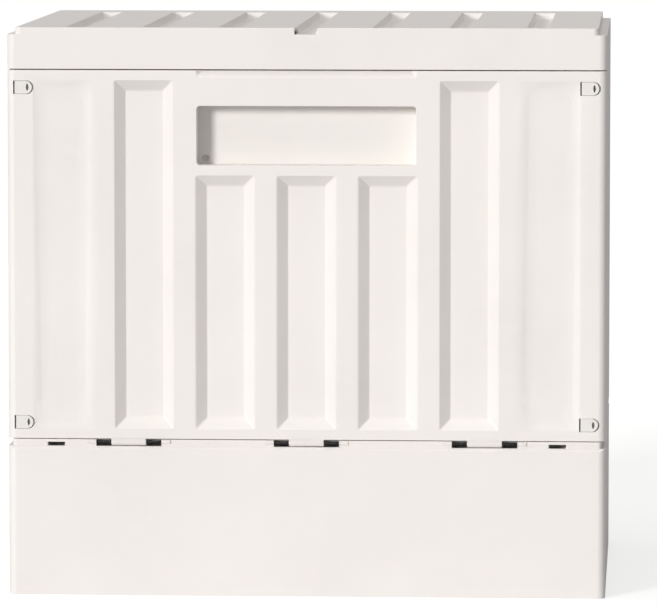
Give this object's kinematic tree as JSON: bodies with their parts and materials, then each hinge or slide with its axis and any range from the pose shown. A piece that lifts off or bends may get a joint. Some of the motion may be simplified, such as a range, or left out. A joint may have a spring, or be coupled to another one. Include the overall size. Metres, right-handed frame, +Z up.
{
  "type": "folding lidded bin",
  "caption": "Folding lidded storage and waste bin: deep base tray, ribbed drop-down and fold-in walls, rear-hinged grooved lid, hand pockets and corner catches.",
  "frame": {"origin": "centre of the overall footprint, on the ground plane", "axes": "+X to the right-hand side, front faces -Y, +Z up"},
  "size_m": [0.53, 0.4, 0.505],
  "materials": {
    "body": "fine moulded grain, warm white",
    "liner": "smooth satin, warm white",
    "cup": "satin, warm white",
    "catch": "satin, warm white",
    "steel": "black-oxide rod and wire"
  },
  "bodies": {
    "base": {"base_tray": "body", "rear_wall": "body", "rear_wall_liner": "liner", "rear_pocket_cup": "cup", "front_wall_pins": "steel", "rear_wall_pins": "steel", "left_wall_rod": "steel", "right_wall_rod": "steel", "lid_pins": "steel", "rear_catch_springs": "steel"},
    "lid": {"lid_shell": "body", "lid_liner": "liner"},
    "front": {"front_wall": "body", "front_wall_liner": "liner", "front_pocket_cup": "cup", "front_catch_springs": "steel"},
    "left": {"left_wall": "body", "left_wall_liner": "liner", "left_strikers": "steel"},
    "right": {"right_wall": "body", "right_wall_liner": "liner", "right_strikers": "steel"},
    "catch_front_left_low_button": {"catch_front_left_low": "catch"},
    "catch_front_left_high_button": {"catch_front_left_high": "catch"},
    "catch_front_right_low_button": {"catch_front_right_low": "catch"},
    "catch_front_right_high_button": {"catch_front_right_high": "catch"},
    "catch_rear_left_low_button": {"catch_rear_left_low": "catch"},
    "catch_rear_left_high_button": {"catch_rear_left_high": "catch"},
    "catch_rear_right_low_button": {"catch_rear_right_low": "catch"},
    "catch_rear_right_high_button": {"catch_rear_right_high": "catch"}
  },
  "joints": [
    {"name": "lid_hinge", "type": "hinge", "parent": "base", "child": "lid", "pos_m": [0, 0.195, 0.468], "axis": [-1, 0, 0], "range_deg": [0, 105]},
    {"name": "front_wall_drop", "type": "hinge", "parent": "base", "child": "front", "pos_m": [0, -0.1955, 0.137], "axis": [1, 0, 0], "range_deg": [0, 90]},
    {"name": "left_wall_fold", "type": "hinge", "parent": "base", "child": "left", "pos_m": [-0.247, -0.004, 0.115], "axis": [0, -1, 0], "range_deg": [-90, 0]},
    {"name": "right_wall_fold", "type": "hinge", "parent": "base", "child": "right", "pos_m": [0.247, -0.004, 0.088], "axis": [0, 1, 0], "range_deg": [-90, 0]},
    {"name": "catch_front_left_low_press", "type": "slide", "parent": "front", "child": "catch_front_left_low_button", "axis": [0, 1, 0], "range_m": [0, 0.002], "stiffness_N_per_m": 600},
    {"name": "catch_front_left_high_press", "type": "slide", "parent": "front", "child": "catch_front_left_high_button", "axis": [0, 1, 0], "range_m": [0, 0.002], "stiffness_N_per_m": 600},
    {"name": "catch_front_right_low_press", "type": "slide", "parent": "front", "child": "catch_front_right_low_button", "axis": [0, 1, 0], "range_m": [0, 0.002], "stiffness_N_per_m": 600},
    {"name": "catch_front_right_high_press", "type": "slide", "parent": "front", "child": "catch_front_right_high_button", "axis": [0, 1, 0], "range_m": [0, 0.002], "stiffness_N_per_m": 600},
    {"name": "catch_rear_left_low_press", "type": "slide", "parent": "base", "child": "catch_rear_left_low_button", "axis": [0, -1, 0], "range_m": [0, 0.002], "stiffness_N_per_m": 600},
    {"name": "catch_rear_left_high_press", "type": "slide", "parent": "base", "child": "catch_rear_left_high_button", "axis": [0, -1, 0], "range_m": [0, 0.002], "stiffness_N_per_m": 600},
    {"name": "catch_rear_right_low_press", "type": "slide", "parent": "base", "child": "catch_rear_right_low_button", "axis": [0, -1, 0], "range_m": [0, 0.002], "stiffness_N_per_m": 600},
    {"name": "catch_rear_right_high_press", "type": "slide", "parent": "base", "child": "catch_rear_right_high_button", "axis": [0, -1, 0], "range_m": [0, 0.002], "stiffness_N_per_m": 600}
  ]
}
